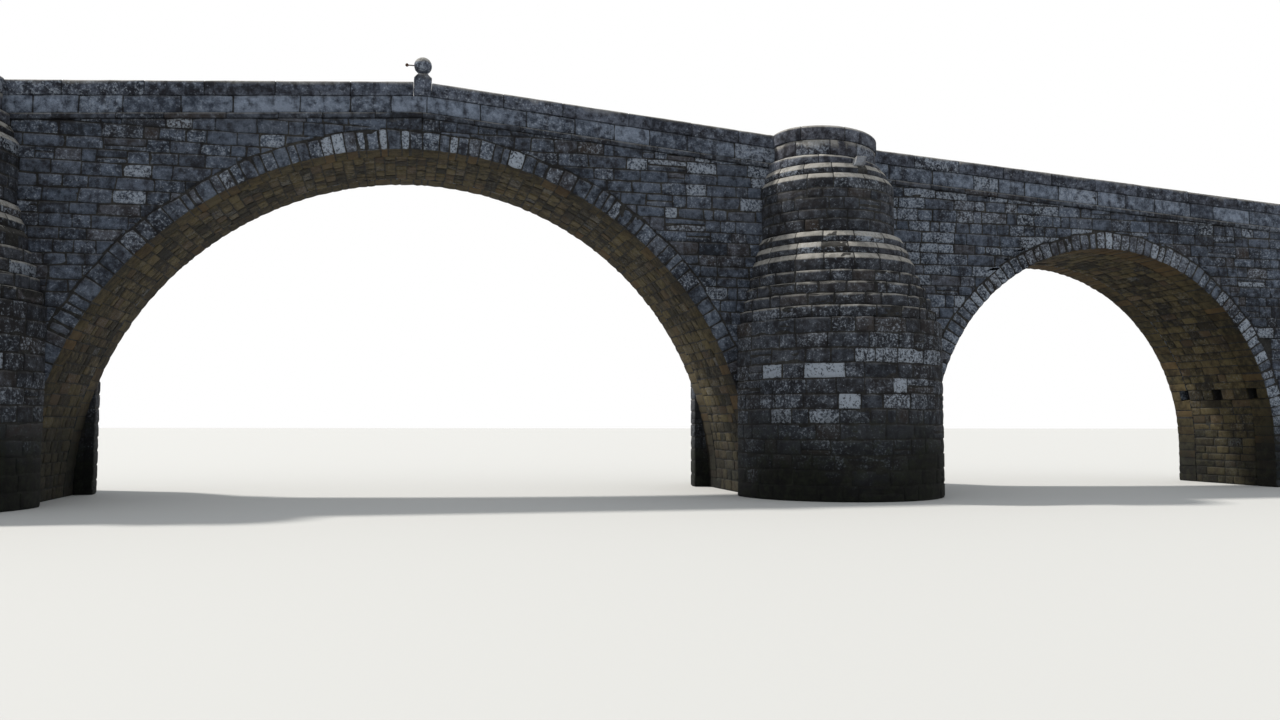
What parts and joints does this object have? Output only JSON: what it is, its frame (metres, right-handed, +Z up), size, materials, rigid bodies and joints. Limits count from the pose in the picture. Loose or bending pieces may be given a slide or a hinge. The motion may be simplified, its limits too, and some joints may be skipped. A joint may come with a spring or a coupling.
{
  "type": "stone arch bridge, scale model at 1:2",
  "caption": "Humpbacked stone arch bridge with arches of two sizes, round stepped cutwaters, refuges over them and solid parapets.",
  "frame": {"origin": "middle of the bridge in plan, at the level of the foot, where the piers meet the water", "axes": "+X along the road to the right as seen from the front, +Y across the road away from the front, +Z up"},
  "size_m": [29.5, 4.8596, 5.653],
  "materials": {
    "wall_stone": "weathered grey granite ashlar with dark crust, pale lichen and open joints",
    "arch_ring_stone": "weathered dark grey granite arch stones",
    "soffit_stone": "ochre brown granite, damp stained, with some moss",
    "cutwater_stone": "weathered grey granite in round courses, dark and damp at the foot",
    "parapet_stone": "pale lichened granite slabs",
    "coping_stone": "dark crusted granite coping with lichen spots",
    "paving": "worn granite paving slabs",
    "iron": "dull rusted iron"
  },
  "bodies": {
    "root": {"main_barrel": "soffit_stone", "left_barrel": "soffit_stone", "right_barrel": "soffit_stone", "main_ring_front": "arch_ring_stone", "main_ring_back": "arch_ring_stone", "side_rings_front": "arch_ring_stone", "side_rings_back": "arch_ring_stone", "pier_left": "wall_stone", "pier_right": "wall_stone", "abutment_left": "wall_stone", "abutment_right": "wall_stone", "wall_front_left": "wall_stone", "wall_front_right": "wall_stone", "wall_back_left": "wall_stone", "wall_back_right": "wall_stone", "cutwater_front_left": "cutwater_stone", "cutwater_front_right": "cutwater_stone", "cutwater_back_left": "cutwater_stone", "cutwater_back_right": "cutwater_stone", "stepped_cap_front_left": "cutwater_stone", "stepped_cap_front_right": "cutwater_stone", "stepped_cap_back_left": "cutwater_stone", "stepped_cap_back_right": "cutwater_stone", "refuge_drum_front_left": "cutwater_stone", "refuge_drum_front_right": "cutwater_stone", "refuge_drum_back_left": "cutwater_stone", "refuge_drum_back_right": "cutwater_stone", "refuge_wall_front_left": "parapet_stone", "refuge_wall_front_right": "parapet_stone", "refuge_wall_back_left": "parapet_stone", "refuge_wall_back_right": "parapet_stone", "roadway": "paving", "string_course_front": "parapet_stone", "string_course_back": "parapet_stone", "parapet_front_left": "parapet_stone", "parapet_front_middle": "parapet_stone", "parapet_front_right": "parapet_stone", "parapet_back_left": "parapet_stone", "parapet_back_middle": "parapet_stone", "parapet_back_right": "parapet_stone", "coping_front": "coping_stone", "coping_back": "coping_stone", "finial_block": "coping_stone", "finial_ball": "coping_stone", "finial_pin": "iron"}
  },
  "joints": []
}
